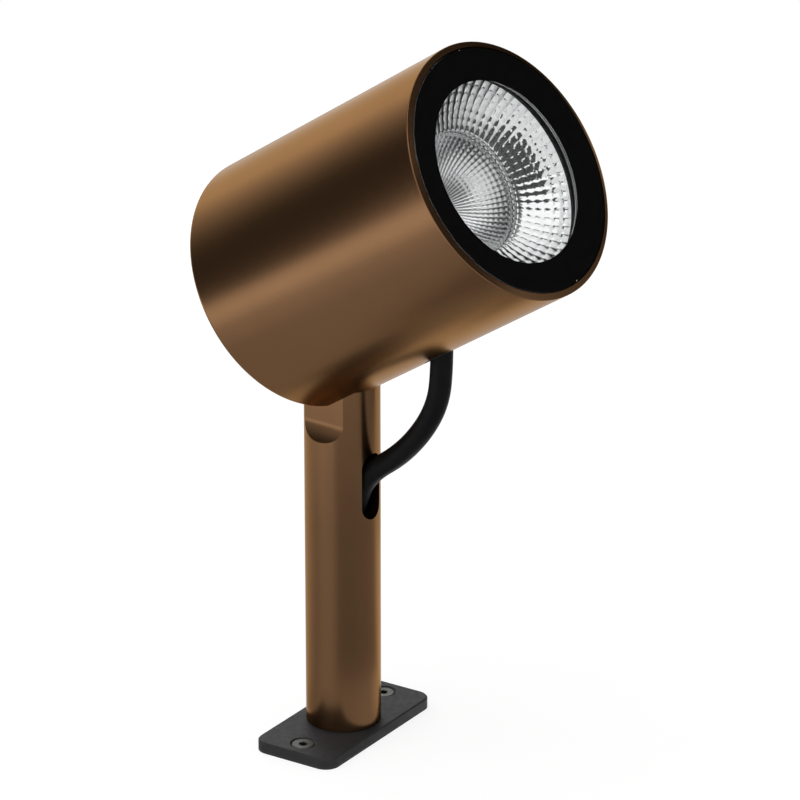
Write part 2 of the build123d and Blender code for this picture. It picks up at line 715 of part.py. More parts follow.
def heat_sink_screws():
    screw = sunk_screw(INNER_SCREW_D, INNER_SCREW_HEAD_D, INNER_SCREW_L)
    return [place * screw for place in sink_screw_places()]


def thermal_pad():
    pad = disc(LED_BOARD_D, SINK_FRONT_Z, LED_Z)
    for place in led_screw_places():
        pad -= place * disc(INNER_SCREW_D + 2 * SLIP_GAP, -LED_SCREW_L, PAST)
    return pad


def led_screw_places():
    """Screws through the light source's holder into the heat sink."""
    middle_r = (LED_HOLDER_D + EMITTER_D) / 4
    return [polar(angle, middle_r, EMITTER_Z + LED_HOLDER_T) for angle in LED_SCREW_ANGLES]


def led_board():
    board = disc(LED_BOARD_D, LED_Z, EMITTER_Z)
    for place in led_screw_places():
        board -= place * disc(INNER_SCREW_D + 2 * SLIP_GAP, -LED_SCREW_L, PAST)
    return board


def led_emitter():
    return disc(EMITTER_D, EMITTER_Z, EMITTER_Z + EMITTER_T)


def led_holder():
    holder = ring(LED_HOLDER_D, EMITTER_D + 2 * SLIP_GAP, EMITTER_Z, EMITTER_Z + LED_HOLDER_T)
    for place in led_screw_places():
        holder -= place * disc(INNER_SCREW_D + 2 * SLIP_GAP, -LED_SCREW_L, PAST)
        holder -= place * disc(LED_SCREW_HEAD_D + 2 * SLIP_GAP, -LED_SCREW_HEAD_H, PAST)
    return holder


def led_screws():
    screw = disc(LED_SCREW_HEAD_D, -LED_SCREW_HEAD_H, 0) + disc(INNER_SCREW_D, -LED_SCREW_L, 0)
    screw -= hex_socket(INNER_SCREW_D * KEY_SHARE, LED_SCREW_HEAD_H * KEY_SHARE)
    return [place * screw for place in led_screw_places()]


# Head: optics
def reflector_holder():
    """Black tube that stands on the heat sink, with a ledge inside that carries the reflector's flange."""
    tube = ring(HOLDER_D, HOLDER_D - 2 * HOLDER_WALL, SINK_FRONT_Z, FLANGE_Z)
    return tube + ring(HOLDER_D, HOLDER_D - 2 * HOLDER_LIP, FLANGE_Z, RIM_RING_Z)


def reflector():
    """Bowl, a short step and a deeper cup, with a flat flange round the rim."""
    depth = RIM_Z - THROAT_Z
    points = (
        Vector(REFLECTOR_THROAT_D / 2, THROAT_Z),
        Vector(REFLECTOR_STEP_D / 2, THROAT_Z + depth * STEP_SHARE),
        Vector(REFLECTOR_FOOT_D / 2, THROAT_Z + depth * FOOT_SHARE),
        Vector(REFLECTOR_RIM_D / 2, RIM_Z),
    )
    flange_d = HOLDER_D - 2 * HOLDER_LIP - 2 * SEAT_GAP
    wall = spun_wall(points, (CUP_BULGE, STEP_BULGE, BOWL_BULGE))
    return wall + ring(flange_d, REFLECTOR_RIM_D, FLANGE_Z, RIM_Z)


def spun_wall(points, bulges):
    """Wall spun about Z along arcs between the points, each pushed outwards by its share of its length."""
    chords = [high - low for low, high in zip(points, points[1:])]
    outwards = [Vector(chord.Y, -chord.X).normalized() for chord in chords]
    corners = [(a + b).normalized() for a, b in zip(outwards, outwards[1:])]
    leans = [outwards[0], *corners, outwards[-1]]
    behind = [point + lean * REFLECTOR_T for point, lean in zip(points, leans)]
    section = [Line(points[0], behind[0]), Line(points[-1], behind[-1])]
    for i, bulge in enumerate(bulges):
        middle = (points[i] + points[i + 1]) * 0.5 + outwards[i] * chords[i].length * bulge
        section.append(ThreePointArc(points[i], middle, points[i + 1]))
        section.append(ThreePointArc(behind[i], middle + outwards[i] * REFLECTOR_T, behind[i + 1]))
    return revolve(Plane.XZ * make_face(section), Axis.Z)


def reflector_ring():
    return ring(HOLDER_D, RIM_RING_D, RIM_RING_Z, GASKET_Z)


def front_ring():
    """Screwed ring with a sloping face, a ledge for the glass and a skirt inside the barrel."""
    body = disc(HEAD_D, RING_Z, HEAD_L) + Pos(0, 0, HEAD_L) * Cone(
        HEAD_R, GLASS_POCKET_D / 2, RING_RISE, align=LOW
    )
    edge = body.edges().filter_by(GeomType.CIRCLE).filter_by_position(Axis.Z, HEAD_L, HEAD_L)
    body = fillet(edge, RING_EDGE_R)
    body += disc(RING_SKIRT_D, RING_Z - RING_SKIRT_L, RING_Z)
    body -= disc(GLASS_POCKET_D, GASKET_Z, FRONT_Z + PAST)
    body -= disc(RING_LEDGE_D, 0, FRONT_Z + PAST)
    return body - seal_groove(RING_SKIRT_D, RING_SEAL_Z)


def front_seal():
    floor = RING_SKIRT_D - 2 * SEAL_DEPTH
    return ring(SHELL_MOUTH_D, floor, RING_SEAL_Z, RING_SEAL_Z + SEAL_W)


def glass_gasket():
    return ring(GLASS_D, RING_LEDGE_D, GASKET_Z, BORDER_Z)


def glass_border():
    return ring(GLASS_D, WINDOW_D, BORDER_Z, GLASS_Z)


def front_glass():
    glass = disc(GLASS_D, GLASS_Z, FRONT_Z)
    return chamfer(glass.edges().filter_by(GeomType.CIRCLE).sort_by(Axis.Z)[-1], GLASS_EDGE)


# What rides on the base, on the turning post and on the tilting head
STANDING = (base_plate, post_spigot, spigot_screws)
TURNING = (post, pan_screws, pivot_bushes, cable, cable_connector, connector_nut)
TILTING = (
    head_shell,
    rear_cover,
    rear_cover_screws,
    pivot_yoke,
    yoke_screws,
    pivot_bolt,
    disc_springs,
    pivot_nut,
    bulkhead,
    bulkhead_seal,
    bulkhead_screws,
    driver_bracket,
    driver_board,
    board_spacers,
    transformer,
    capacitors,
    cable_seal,
    gland_nut,
    cable_terminal,
    heat_sink,
    heat_sink_screws,
    thermal_pad,
    led_board,
    led_emitter,
    led_holder,
    led_screws,
    reflector_holder,
    reflector,
    reflector_ring,
    front_ring,
    front_seal,
    glass_gasket,
    glass_border,
    front_glass,
)


def write_part(make, place):
    """Write one node, named as its function is, at its place in the whole."""
    made = make()
    solids = made if isinstance(made, list) else made.solids()
    export_step(Compound([place * solid for solid in solids]), f"parts/{make.__name__}.step")


os.makedirs("parts", exist_ok=True)
for pieces, place in ((STANDING, Location()), (TURNING, TURN), (TILTING, TURN * HEAD)):
    for make in pieces:
        write_part(make, place)
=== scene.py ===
import json
from math import atan2, cos, pi, radians, sin

import bmesh
import bpy
import numpy as np
from mathutils import Matrix


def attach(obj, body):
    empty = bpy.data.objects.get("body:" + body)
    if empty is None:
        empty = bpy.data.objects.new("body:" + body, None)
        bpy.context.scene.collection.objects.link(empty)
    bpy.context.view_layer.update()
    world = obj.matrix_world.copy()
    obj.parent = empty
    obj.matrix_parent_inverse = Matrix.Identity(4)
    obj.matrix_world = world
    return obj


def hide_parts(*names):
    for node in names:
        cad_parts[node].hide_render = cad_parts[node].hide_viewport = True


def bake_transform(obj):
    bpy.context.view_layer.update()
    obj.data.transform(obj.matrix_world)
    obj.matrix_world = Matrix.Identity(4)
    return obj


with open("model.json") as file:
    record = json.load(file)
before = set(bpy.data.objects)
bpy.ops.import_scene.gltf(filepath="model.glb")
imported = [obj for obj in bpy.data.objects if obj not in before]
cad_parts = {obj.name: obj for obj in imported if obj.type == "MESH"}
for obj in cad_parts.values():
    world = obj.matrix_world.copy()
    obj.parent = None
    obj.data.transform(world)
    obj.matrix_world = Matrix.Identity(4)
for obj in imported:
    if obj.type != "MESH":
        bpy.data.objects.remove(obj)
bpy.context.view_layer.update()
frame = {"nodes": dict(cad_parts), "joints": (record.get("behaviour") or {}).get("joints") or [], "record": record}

MM = 0.001
MERGE_DISTANCE = 1e-6


def put_in_scene(name, data):
    """New object at the origin for a mesh, a curve, a camera or a lamp."""
    piece = bpy.data.objects.new(name, data)
    bpy.context.scene.collection.objects.link(piece)
    return piece


def set_up(piece, across, upright, behind, place):
    """Stands a camera or a lamp at its place, with its own axes along the three directions."""
    stance = np.eye(4)
    stance[:3] = np.stack([across, upright, behind, place], axis=1)
    piece.matrix_world = Matrix(stance.tolist())


# The camera stands where the photograph was taken from
CAMERA_AZIMUTH = radians(-57.01)
CAMERA_HEIGHT = radians(21.11)
CAMERA_DISTANCE = 1749.5 * MM
LOOKED_AT = np.array([0.0, 0.0, 0.150])
SHIFTED_RIGHT = 22.54 * MM
SHIFTED_DOWN = 8.79 * MM
FOCAL_PIXELS = 4498.72
PICTURE_PIXELS = 800
SENSOR = 36.0

back = np.array([
    sin(CAMERA_AZIMUTH) * cos(CAMERA_HEIGHT),
    -cos(CAMERA_AZIMUTH) * cos(CAMERA_HEIGHT),
    sin(CAMERA_HEIGHT),
])
right = np.array([cos(CAMERA_AZIMUTH), sin(CAMERA_AZIMUTH), 0.0])
up = np.cross(back, right)
stand = LOOKED_AT + CAMERA_DISTANCE * back + SHIFTED_RIGHT * right - SHIFTED_DOWN * up


def photo_camera():
    """Camera at its stand, turned so that its own axes are right, up and back."""
    lens = bpy.data.cameras.new("photo_camera")
    lens.sensor_width = SENSOR
    lens.lens = FOCAL_PIXELS * SENSOR / PICTURE_PIXELS
    camera = put_in_scene("photo_camera", lens)
    set_up(camera, right, up, back, stand)
    bpy.context.scene.camera = camera


photo_camera()

# The lamp's own directions, from its tilt pivot
TILT = radians(32.5)
PIVOT_FROM_REAR = 10.0 * MM
PIVOT_UNDER_AXIS = 32.1 * MM
pivot = next(joint for joint in frame["joints"] if joint["name"] == "head_tilt")
PAN = atan2(-pivot["axis"][1], -pivot["axis"][0])
SIDE = np.array([cos(PAN), sin(PAN), 0.0])
FORWARD = np.array([sin(PAN), -cos(PAN), 0.0])
UPWARD = np.array([0.0, 0.0, 1.0])
AIM = cos(TILT) * FORWARD + sin(TILT) * UPWARD
RISE = cos(TILT) * UPWARD - sin(TILT) * FORWARD
REAR = np.array(pivot["pos_m"]) - PIVOT_FROM_REAR * AIM + PIVOT_UNDER_AXIS * RISE


def in_head(across, above, along):
    """Points in the part's frame, from places across, above and along the barrel's axis from its rear."""
    return REAR + across[..., None] * SIDE + above[..., None] * RISE + along[..., None] * AIM


def skin(name, points, round_about=True, end_to_end=False):
    """Mesh over a grid of points: four-sided faces between neighbouring rows and columns. round_about joins
    the last column to the first, and end_to_end joins the last row to the first."""
    rows, columns = points.shape[:2]
    index = np.arange(rows * columns).reshape(rows, columns)
    if round_about:
        index = np.concatenate([index, index[:, :1]], axis=1)
    if end_to_end:
        index = np.concatenate([index, index[:1]], axis=0)
    corners = [index[:-1, :-1], index[:-1, 1:], index[1:, 1:], index[1:, :-1]]
    faces = np.stack(corners, axis=-1).reshape(-1, 4)
    mesh = bpy.data.meshes.new(name)
    mesh.from_pydata(points.reshape(-1, 3).tolist(), [], faces.tolist())
    return mesh


def joined_poles(mesh):
    """Merges the points that meet on an axis, so that a turned form closes there, and turns its faces
    outwards."""
    work = bmesh.new()
    work.from_mesh(mesh)
    bmesh.ops.remove_doubles(work, verts=work.verts, dist=MERGE_DISTANCE)
    bmesh.ops.recalc_face_normals(work, faces=work.faces)
    work.to_mesh(mesh)
    work.free()


def rounded_shade(mesh, crease):
    """Smooth shading, left sharp where two faces meet at more than the crease angle."""
    mesh.shade_smooth()
    mesh.set_sharp_from_angle(angle=radians(crease))


def mark_rows(mesh, name, values, columns):
    """Point attribute with one value for each row of a grid."""
    marks = mesh.attributes.new(name, "FLOAT", "POINT")
    marks.data.foreach_set("value", np.repeat(values, columns).astype(np.float32))


# The cable's route in millimetres, forward of the post's axis and up, from the head to the post
CABLE_D = 8.8 * MM
CABLE_AROUND = 40
CABLE_CREASE = 40
CABLE_ROUTE = [
    (48.4, 187.2), (48.9, 167.0), (46.5, 147.5), (32.0, 127.0), (11.5, 112.0),
    (6.5, 98.0), (1.0, 84.0), (-3.0, 71.0), (-3.0, 53.0),
]
CABLE_SPLINE_STEPS = 24


def in_aim_plane(forward, height):
    """A point of the upright plane through the post's axis and the lamp's aim, from millimetres."""
    return forward * MM * FORWARD + height * MM * UPWARD


def cable_line():
    """Points along a NURBS spline whose control points are the route's points."""
    curve = bpy.data.curves.new("cable_line", "CURVE")
    curve.dimensions = "3D"
    spline = curve.splines.new("NURBS")
    spline.points.add(len(CABLE_ROUTE) - 1)
    for point, place in zip(spline.points, CABLE_ROUTE):
        point.co = (*in_aim_plane(*place), 1.0)
    spline.order_u = 3
    spline.use_endpoint_u = True
    spline.resolution_u = CABLE_SPLINE_STEPS
    holder = put_in_scene("cable_line", curve)
    line = bpy.data.meshes.new_from_object(holder)
    places = np.empty(len(line.vertices) * 3)
    line.vertices.foreach_get("co", places)
    bpy.data.objects.remove(holder)
    bpy.data.meshes.remove(line)
    return places.reshape(-1, 3)


def cable_jacket_tube():
    """Round tube along the cable's line: at each point a ring in the plane across the line, spanned by the
    lamp's side direction and the direction square to it, with both ends drawn in to a flat cap."""
    line = cable_line()
    onward = np.gradient(line, axis=0)
    onward /= np.linalg.norm(onward, axis=1, keepdims=True)
    outside = np.cross(SIDE, onward)
    around = np.linspace(0, 2 * pi, CABLE_AROUND, endpoint=False)
    ring = np.cos(around)[None, :, None] * SIDE + np.sin(around)[None, :, None] * outside[:, None, :]
    tube = line[:, None, :] + CABLE_D / 2 * ring
    caps = [np.broadcast_to(line[end], (1, CABLE_AROUND, 3)) for end in (0, -1)]
    mesh = skin("cable_tube", np.concatenate([caps[0], tube, caps[1]]))
    joined_poles(mesh)
    rounded_shade(mesh, CABLE_CREASE)
    cable = put_in_scene("cable_tube", mesh)
    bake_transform(cable)
    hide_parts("cable")
    return cable


cable = cable_jacket_tube()

# The reflector's profile in millimetres: distance out from the barrel's axis, and place along it
REFLECTOR_COLUMNS = 66
COLUMN_STEPS = 8
THROAT = (6.0, 82.79)
STEP = (23.6, 98.24)
FOOT = (24.6, 101.49)
RIM = (40.5, 113.7)
FLANGE_RADIUS = 42.2
REFLECTOR_WALL = 1.2
WALL_STEPS = 7
FACET_CREASE = 10


class Band:
    """Rows of pillows between two points of the profile."""

    def __init__(self, start, end, bulge, rows, row_steps, across, along, twist=0.0, growth=0.0):
        self.start, self.end, self.bulge = np.array(start), np.array(end), bulge
        self.rows, self.row_steps = rows, row_steps
        self.across, self.along, self.twist, self.growth = across, along, twist, growth

    def profile(self, share):
        """Radius and place along the axis. The middle is pushed away from the axis by bulge times the
        length, falling to nothing at the ends as a parabola."""
        run = self.end - self.start
        outward = np.array([run[1], -run[0]])
        return self.start + share[:, None] * run + (4 * self.bulge * share * (1 - share))[:, None] * outward

    def pillows(self):
        """Grid of radius and place along the axis. Each pillow rises from its edges towards the axis as the
        sum of two parabolas, one across it and one along it, as shares of its width and its length. A
        negative share hollows it instead. twist adds the product of both places, as a share of the width, so
        that one pair of corners stands higher. All of it grows along the band, by growth times the square of
        the way along. The last row may be cut short."""
        share = np.linspace(0, 1, round(self.rows * self.row_steps) + 1)
        profile = self.profile(share)
        lengthwise = np.gradient(profile, axis=0)
        lengthwise /= np.linalg.norm(lengthwise, axis=1, keepdims=True)
        inward = np.stack([-lengthwise[:, 1], lengthwise[:, 0]], axis=-1)
        x = 2 * (np.arange(REFLECTOR_COLUMNS * COLUMN_STEPS) % COLUMN_STEPS) / COLUMN_STEPS - 1
        y = 2 * (share * self.rows % 1) - 1
        width = 2 * pi * profile[:, 0] / REFLECTOR_COLUMNS
        length = np.linalg.norm(self.end - self.start) / self.rows
        height = self.across * width[:, None] * (1 - x ** 2) + self.along * length * (1 - y ** 2)[:, None]
        height += self.twist * width[:, None] * x * y[:, None]
        height *= 1 + self.growth * share[:, None] ** 2
        return profile[:, None, :] + height[..., None] * inward[:, None, :]


def faceted_reflector():
    """Closed turned form: a cup, a beaded step and a bowl of pillows inside, a flat flange, and a plain wall
    behind. The attribute bare_and_painted_shade is 1 on the flange and behind, which carry no silver, and
    frost is 1 in the cup, whose silver is duller."""
    columns = REFLECTOR_COLUMNS * COLUMN_STEPS
    cup = Band(THROAT, STEP, bulge=0.08, rows=12, row_steps=4, across=0.08, along=-0.03)
    step = Band(STEP, FOOT, bulge=0.02, rows=2, row_steps=6, across=0.12, along=0.12)
    bowl = Band(FOOT, RIM, bulge=0.06, rows=17 / 3, row_steps=6, across=0.045, along=-0.02,
                twist=-0.025, growth=0.35)
    inside = np.concatenate([cup.pillows()[:-1], step.pillows()[:-1], bowl.pillows()])
    share = np.linspace(1, 0, WALL_STEPS)
    behind = np.concatenate([
        np.array([[FLANGE_RADIUS, RIM[1]], [FLANGE_RADIUS, RIM[1] - REFLECTOR_WALL]]),
        bowl.profile(share) + [REFLECTOR_WALL / 2, -REFLECTOR_WALL],
        cup.profile(share) + [REFLECTOR_WALL, -REFLECTOR_WALL / 2],
    ])
    profile = np.concatenate([inside, np.repeat(behind[:, None, :], columns, axis=1)]) * MM
    turn = np.linspace(0, 2 * pi, columns, endpoint=False)
    radius, along = profile[..., 0], profile[..., 1]
    points = in_head(radius * np.cos(turn), radius * np.sin(turn), along)
    mesh = skin("reflector_facets", points, end_to_end=True)
    rows = np.arange(len(profile))
    mark_rows(mesh, "bare_and_painted_shade", rows >= len(inside), columns)
    mark_rows(mesh, "frost", rows < cup.rows * cup.row_steps, columns)
    rounded_shade(mesh, FACET_CREASE)
    reflector = put_in_scene("reflector_facets", mesh)
    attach(reflector, "head")
    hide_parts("reflector")
    return reflector


reflector = faceted_reflector()

TURNED_AROUND = 240


def turned_in_head(name, profile, crease, node):
    """Closed turned form about the barrel's axis, from a profile of radius and place along the axis."""
    turn = np.linspace(0, 2 * pi, TURNED_AROUND, endpoint=False)
    across = MM * profile[:, :1] * np.cos(turn)
    above = MM * profile[:, :1] * np.sin(turn)
    along = MM * np.repeat(profile[:, 1:], TURNED_AROUND, axis=1)
    mesh = skin(name, in_head(across, above, along), end_to_end=True)
    joined_poles(mesh)
    rounded_shade(mesh, crease)
    piece = put_in_scene(name, mesh)
    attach(piece, "head")
    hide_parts(node)
    return piece


# The ring round the reflector's rim in millimetres, with thin bright ribs on its inner wall; the wall between the
# ribs is painted shade, dulled towards black plastic
RIM_RING_INNER = 37.8
RIM_RING_OUTER = 43.5
RIM_RING_LOW = 118.5
RIM_RING_HIGH = 120.9
RIM_RIBS = 3
RIM_RIB_RADIUS = 0.2
RIM_RIB_STEPS = 9
RIM_SILVER_HEIGHT = RIM_RIB_RADIUS / 3
# Share of black plastic on the wall between the ribs: painted shade, so that dark lines run between the bright
# ribs
RIM_WALL_PAINTED_SHADE = 0.75
RIM_RING_CREASE = 30


def ribbed_rim_ring():
    """Ring whose inner wall carries half circles, one above the other with flat wall between them. The
    attribute bare_and_painted_shade is 0 on the ribs from the silver's height up, and elsewhere the wall's
    painted shade value, which turns the wall between the ribs mostly to black plastic so that it shows as dark
    lines."""
    spacing = (RIM_RING_HIGH - RIM_RING_LOW) / RIM_RIBS
    bend = np.linspace(-pi / 2, pi / 2, RIM_RIB_STEPS)
    rib = RIM_RIB_RADIUS * np.stack([-np.cos(bend), np.sin(bend)], axis=-1)
    middles = RIM_RING_LOW + spacing * (np.arange(RIM_RIBS) + 0.5)
    profile = np.concatenate([
        [[RIM_RING_INNER, RIM_RING_LOW]],
        *(rib + [RIM_RING_INNER, middle] for middle in middles),
        [[RIM_RING_INNER, RIM_RING_HIGH], [RIM_RING_OUTER, RIM_RING_HIGH], [RIM_RING_OUTER, RIM_RING_LOW]],
    ])
    ring = turned_in_head("rim_ring_ribs", profile, RIM_RING_CREASE, "reflector_ring")
    # Painted shade: the wall between the ribs turns mostly to black plastic, and only the ribs' tips keep their
    # silver
    bare_and_painted_shade = np.where(profile[:, 0] < RIM_RING_INNER - RIM_SILVER_HEIGHT, 0.0, RIM_WALL_PAINTED_SHADE)
    mark_rows(ring.data, "bare_and_painted_shade", bare_and_painted_shade, TURNED_AROUND)
    return ring


rim_ring = ribbed_rim_ring()

# The front pane in millimetres, with a small bevel round both faces
PANE_RADIUS = 48.65
PANE_BACK = 121.5
PANE_FRONT = 125.6
PANE_BEVEL = 0.3
PANE_CREASE = 20


def front_pane():
    """Flat round pane: bevel, edge, bevel, and two faces that close on the axis."""
    profile = np.array([
        [0.0, PANE_BACK], [PANE_RADIUS - PANE_BEVEL, PANE_BACK],
        [PANE_RADIUS, PANE_BACK + PANE_BEVEL], [PANE_RADIUS, PANE_FRONT - PANE_BEVEL],
        [PANE_RADIUS - PANE_BEVEL, PANE_FRONT], [0.0, PANE_FRONT],
    ])
    return turned_in_head("front_pane", profile, PANE_CREASE, "front_glass")


pane = front_pane()

# Two countersunk hex socket screws in the base plate, in millimetres
BASE_SCREW_X = 29.0
SCREW_TOP = 4.3
SCREW_HEAD_R = 4.45
SCREW_SHANK_R = 2.4
SCREW_KEY = 3.0
SCREW_KEY_DEPTH = 2.3
SCREW_END = 0.2
SCREW_CHAMFER = 0.25
SCREW_RIM_DROP = 0.2
SCREW_RIM_DEPTH = 0.3
SCREW_DRILL_POINT = 0.6
SCREW_AROUND = 72
SCREW_CREASE = 25


def base_screw(middle):
    """Grid of one screw: rings from the socket's floor up its six-sided wall, over the head, down the cone
    and the shank. The six-sided radius is half the key over the cosine of the angle from a flat's middle."""
    turn = np.linspace(0, 2 * pi, SCREW_AROUND, endpoint=False)
    six_sided = SCREW_KEY / 2 / np.cos((turn + pi / 6) % (pi / 3) - pi / 6)
    round_one = np.ones(SCREW_AROUND)
    floor = SCREW_TOP - SCREW_KEY_DEPTH
    cone_top = SCREW_TOP - SCREW_RIM_DEPTH
    rings = [
        (0 * round_one, floor - SCREW_DRILL_POINT),
        (six_sided, floor),
        (six_sided, SCREW_TOP - SCREW_CHAMFER),
        (six_sided + SCREW_CHAMFER, SCREW_TOP),
        ((SCREW_HEAD_R - SCREW_CHAMFER) * round_one, SCREW_TOP),
        (SCREW_HEAD_R * round_one, SCREW_TOP - SCREW_RIM_DROP),
        (SCREW_HEAD_R * round_one, cone_top),
        (SCREW_SHANK_R * round_one, cone_top - SCREW_HEAD_R + SCREW_SHANK_R),
        (SCREW_SHANK_R * round_one, SCREW_END),
        (0 * round_one, SCREW_END),
    ]
    radius = np.stack([ring for ring, _ in rings])
    height = np.array([level for _, level in rings])[:, None] * round_one
    return np.stack([middle + radius * np.cos(turn), radius * np.sin(turn), height], axis=-1) * MM


def base_screws():
    """The two screws as one piece."""
    both = bmesh.new()
    for middle in (-BASE_SCREW_X, BASE_SCREW_X):
        one = skin("base_screw", base_screw(middle))
        both.from_mesh(one)
        bpy.data.meshes.remove(one)
    mesh = bpy.data.meshes.new("base_screws")
    both.to_mesh(mesh)
    both.free()
    joined_poles(mesh)
    rounded_shade(mesh, SCREW_CREASE)
    screws = put_in_scene("base_screws", mesh)
    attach(screws, "base")
    return screws


screws = base_screws()

# Finishes. Soft noise stays mostly between its low and its high value
NOISE_LOW = 0.3
NOISE_HIGH = 0.7


def ramp_through(tree, stops):
    """Colour ramp node through (place, colour) stops."""
    ramp = tree.nodes.new("ShaderNodeValToRGB")
    while len(ramp.color_ramp.elements) < len(stops):
        ramp.color_ramp.elements.new(0.5)
    for element, (place, colour) in zip(ramp.color_ramp.elements, stops):
        element.position = place
        element.color = (*colour, 1.0)
    return ramp


class Finish:
    """A material's nodes: its Principled shader, Object coordinates and the links between them."""

    def __init__(self, name):
        self.material = bpy.data.materials.new(name)
        self.material.use_nodes = True
        self.tree = self.material.node_tree
        self.shader = self.tree.nodes["Principled BSDF"]
        self.place = self.tree.nodes.new("ShaderNodeTexCoord").outputs["Object"]

    def node(self, kind, **settings):
        """New node with its settings."""
        made = self.tree.nodes.new(kind)
        for name, value in settings.items():
            setattr(made, name, value)
        return made

    def link(self, source, target):
        """Link from one node's output to another's input."""
        self.tree.links.new(source, target)

    def set(self, **values):
        """Values on the shader's own sockets, with underscores for the spaces in their names."""
        for name, value in values.items():
            self.shader.inputs[name.replace("_", " ")].default_value = value

    def stretched(self, scale):
        """Object coordinates scaled along each axis, so that a grain runs one way."""
        mapping = self.node("ShaderNodeMapping")
        mapping.inputs["Scale"].default_value = scale
        self.link(self.place, mapping.inputs["Vector"])
        return mapping.outputs["Vector"]

    def cloud(self, scale, detail=3.0, place=None):
        """Soft noise with about scale lumps to the metre."""
        noise = self.node("ShaderNodeTexNoise")
        noise.inputs["Scale"].default_value = scale
        noise.inputs["Detail"].default_value = detail
        self.link(place or self.place, noise.inputs["Vector"])
        return noise.outputs["Fac"]

    def grit(self, scale):
        """Small cells with about scale cells to the metre."""
        cells = self.node("ShaderNodeTexVoronoi")
        cells.inputs["Scale"].default_value = scale
        self.link(self.place, cells.inputs["Vector"])
        return cells.outputs["Distance"]

    def colours(self, value, *stops):
        """Base colour from a value, through (place, colour) stops."""
        ramp = ramp_through(self.tree, stops)
        self.link(value, ramp.inputs["Fac"])
        self.link(ramp.outputs["Color"], self.shader.inputs["Base Color"])
        return ramp.outputs["Color"]

    def tones(self, noise, dark, light):
        """Base colour that drifts from dark to light with the noise."""
        return self.colours(noise, (NOISE_LOW, dark), (NOISE_HIGH, light))

    def roughness(self, noise, low, high):
        """Roughness that drifts from low to high with the noise."""
        spread = self.node("ShaderNodeMapRange")
        spread.inputs["From Min"].default_value = NOISE_LOW
        spread.inputs["From Max"].default_value = NOISE_HIGH
        spread.inputs["To Min"].default_value = low
        spread.inputs["To Max"].default_value = high
        self.link(noise, spread.inputs["Value"])
        self.link(spread.outputs["Result"], self.shader.inputs["Roughness"])
        return spread.outputs["Result"]

    def relief(self, value, depth):
        """Bump of that depth in metres."""
        bump = self.node("ShaderNodeBump")
        bump.inputs["Distance"].default_value = depth
        bump.inputs["Strength"].default_value = 1.0
        self.link(value, bump.inputs["Height"])
        self.link(bump.outputs["Normal"], self.shader.inputs["Normal"])


def bronze_finish():
    """Satin metallic bronze: fine flake grain and a slow cloudy tone. The tint keeps its edges brown too."""
    look = Finish("bronze_finish")
    look.set(Metallic=1.0, Specular_Tint=(0.72, 0.60, 0.48, 1.0))
    look.tones(look.cloud(30.0), (0.232, 0.124, 0.061), (0.248, 0.133, 0.066))
    look.roughness(look.cloud(1200.0, 2.0), 0.24, 0.27)
    return look.material


def plate_finish():
    """Charcoal powder coat: fine orange peel, slightly cloudy."""
    look = Finish("plate_finish")
    look.set(Specular_IOR_Level=0.25)
    look.tones(look.cloud(120.0), (0.026, 0.026, 0.028), (0.034, 0.034, 0.036))
    look.roughness(look.cloud(500.0), 0.5, 0.62)
    look.relief(look.cloud(1400.0, 2.0), 1.2e-5)
    return look.material


def screw_steel():
    """Dull zinc on the base screws: blotchy grey with small pits."""
    look = Finish("screw_steel")
    look.set(Metallic=1.0)
    look.tones(look.cloud(700.0), (0.085, 0.085, 0.082), (0.125, 0.125, 0.12))
    look.roughness(look.cloud(900.0), 0.38, 0.5)
    look.relief(look.grit(2500.0), 8e-6)
    return look.material


def bright_zinc():
    """Bright zinc on the screws, springs and spigot inside."""
    look = Finish("bright_zinc")
    look.set(Metallic=1.0)
    look.tones(look.cloud(260.0), (0.47, 0.47, 0.49), (0.58, 0.58, 0.59))
    look.roughness(look.cloud(600.0), 0.25, 0.38)
    look.relief(look.cloud(2200.0), 5e-6)
    return look.material


def bearing_brass():
    """Machined brass with a faint tarnish."""
    look = Finish("bearing_brass")
    look.set(Metallic=1.0)
    look.tones(look.cloud(150.0), (0.60, 0.44, 0.18), (0.76, 0.60, 0.30))
    look.roughness(look.cloud(400.0), 0.24, 0.36)
    look.relief(look.cloud(1.0, 2.0, look.stretched((300.0, 300.0, 4000.0))), 4e-6)
    return look.material


def cable_jacket():
    """Matt black rubber jacket with a fine skin and a soft sheen."""
    look = Finish("cable_jacket")
    look.set(Specular_IOR_Level=0.12)
    look.tones(look.cloud(200.0), (0.0035, 0.0035, 0.0037), (0.0055, 0.0055, 0.0058))
    look.roughness(look.cloud(500.0), 0.42, 0.55)
    look.relief(look.cloud(2400.0, 2.0), 1.2e-5)
    return look.material


def black_rubber():
    """Soft black seal rubber with a bloom."""
    look = Finish("black_rubber")
    look.tones(look.cloud(300.0), (0.016, 0.016, 0.016), (0.026, 0.026, 0.026))
    look.roughness(look.cloud(700.0), 0.65, 0.8)
    look.relief(look.cloud(2600.0), 1.5e-5)
    return look.material


def black_plastic():
    """Moulded black plastic with a fine spark texture."""
    look = Finish("black_plastic")
    look.tones(look.cloud(250.0), (0.015, 0.015, 0.017), (0.024, 0.024, 0.026))
    look.roughness(look.cloud(900.0), 0.45, 0.58)
    look.relief(look.grit(1800.0), 1.5e-5)
    return look.material


def white_plastic():
    """White moulded plastic of the light source's holder."""
    look = Finish("white_plastic")
    look.tones(look.cloud(200.0), (0.76, 0.76, 0.73), (0.83, 0.83, 0.81))
    look.roughness(look.cloud(700.0), 0.4, 0.5)
    look.relief(look.cloud(2000.0), 6e-6)
    return look.material


def bare_aluminium():
    """Machined aluminium with fine marks that run one way."""
    look = Finish("bare_aluminium")
    look.set(Metallic=1.0)
    marks = look.cloud(1.0, 4.0, look.stretched((2400.0, 120.0, 120.0)))
    look.tones(look.cloud(90.0), (0.62, 0.63, 0.65), (0.74, 0.75, 0.77))
    look.roughness(marks, 0.3, 0.45)
    look.relief(marks, 6e-6)
    return look.material


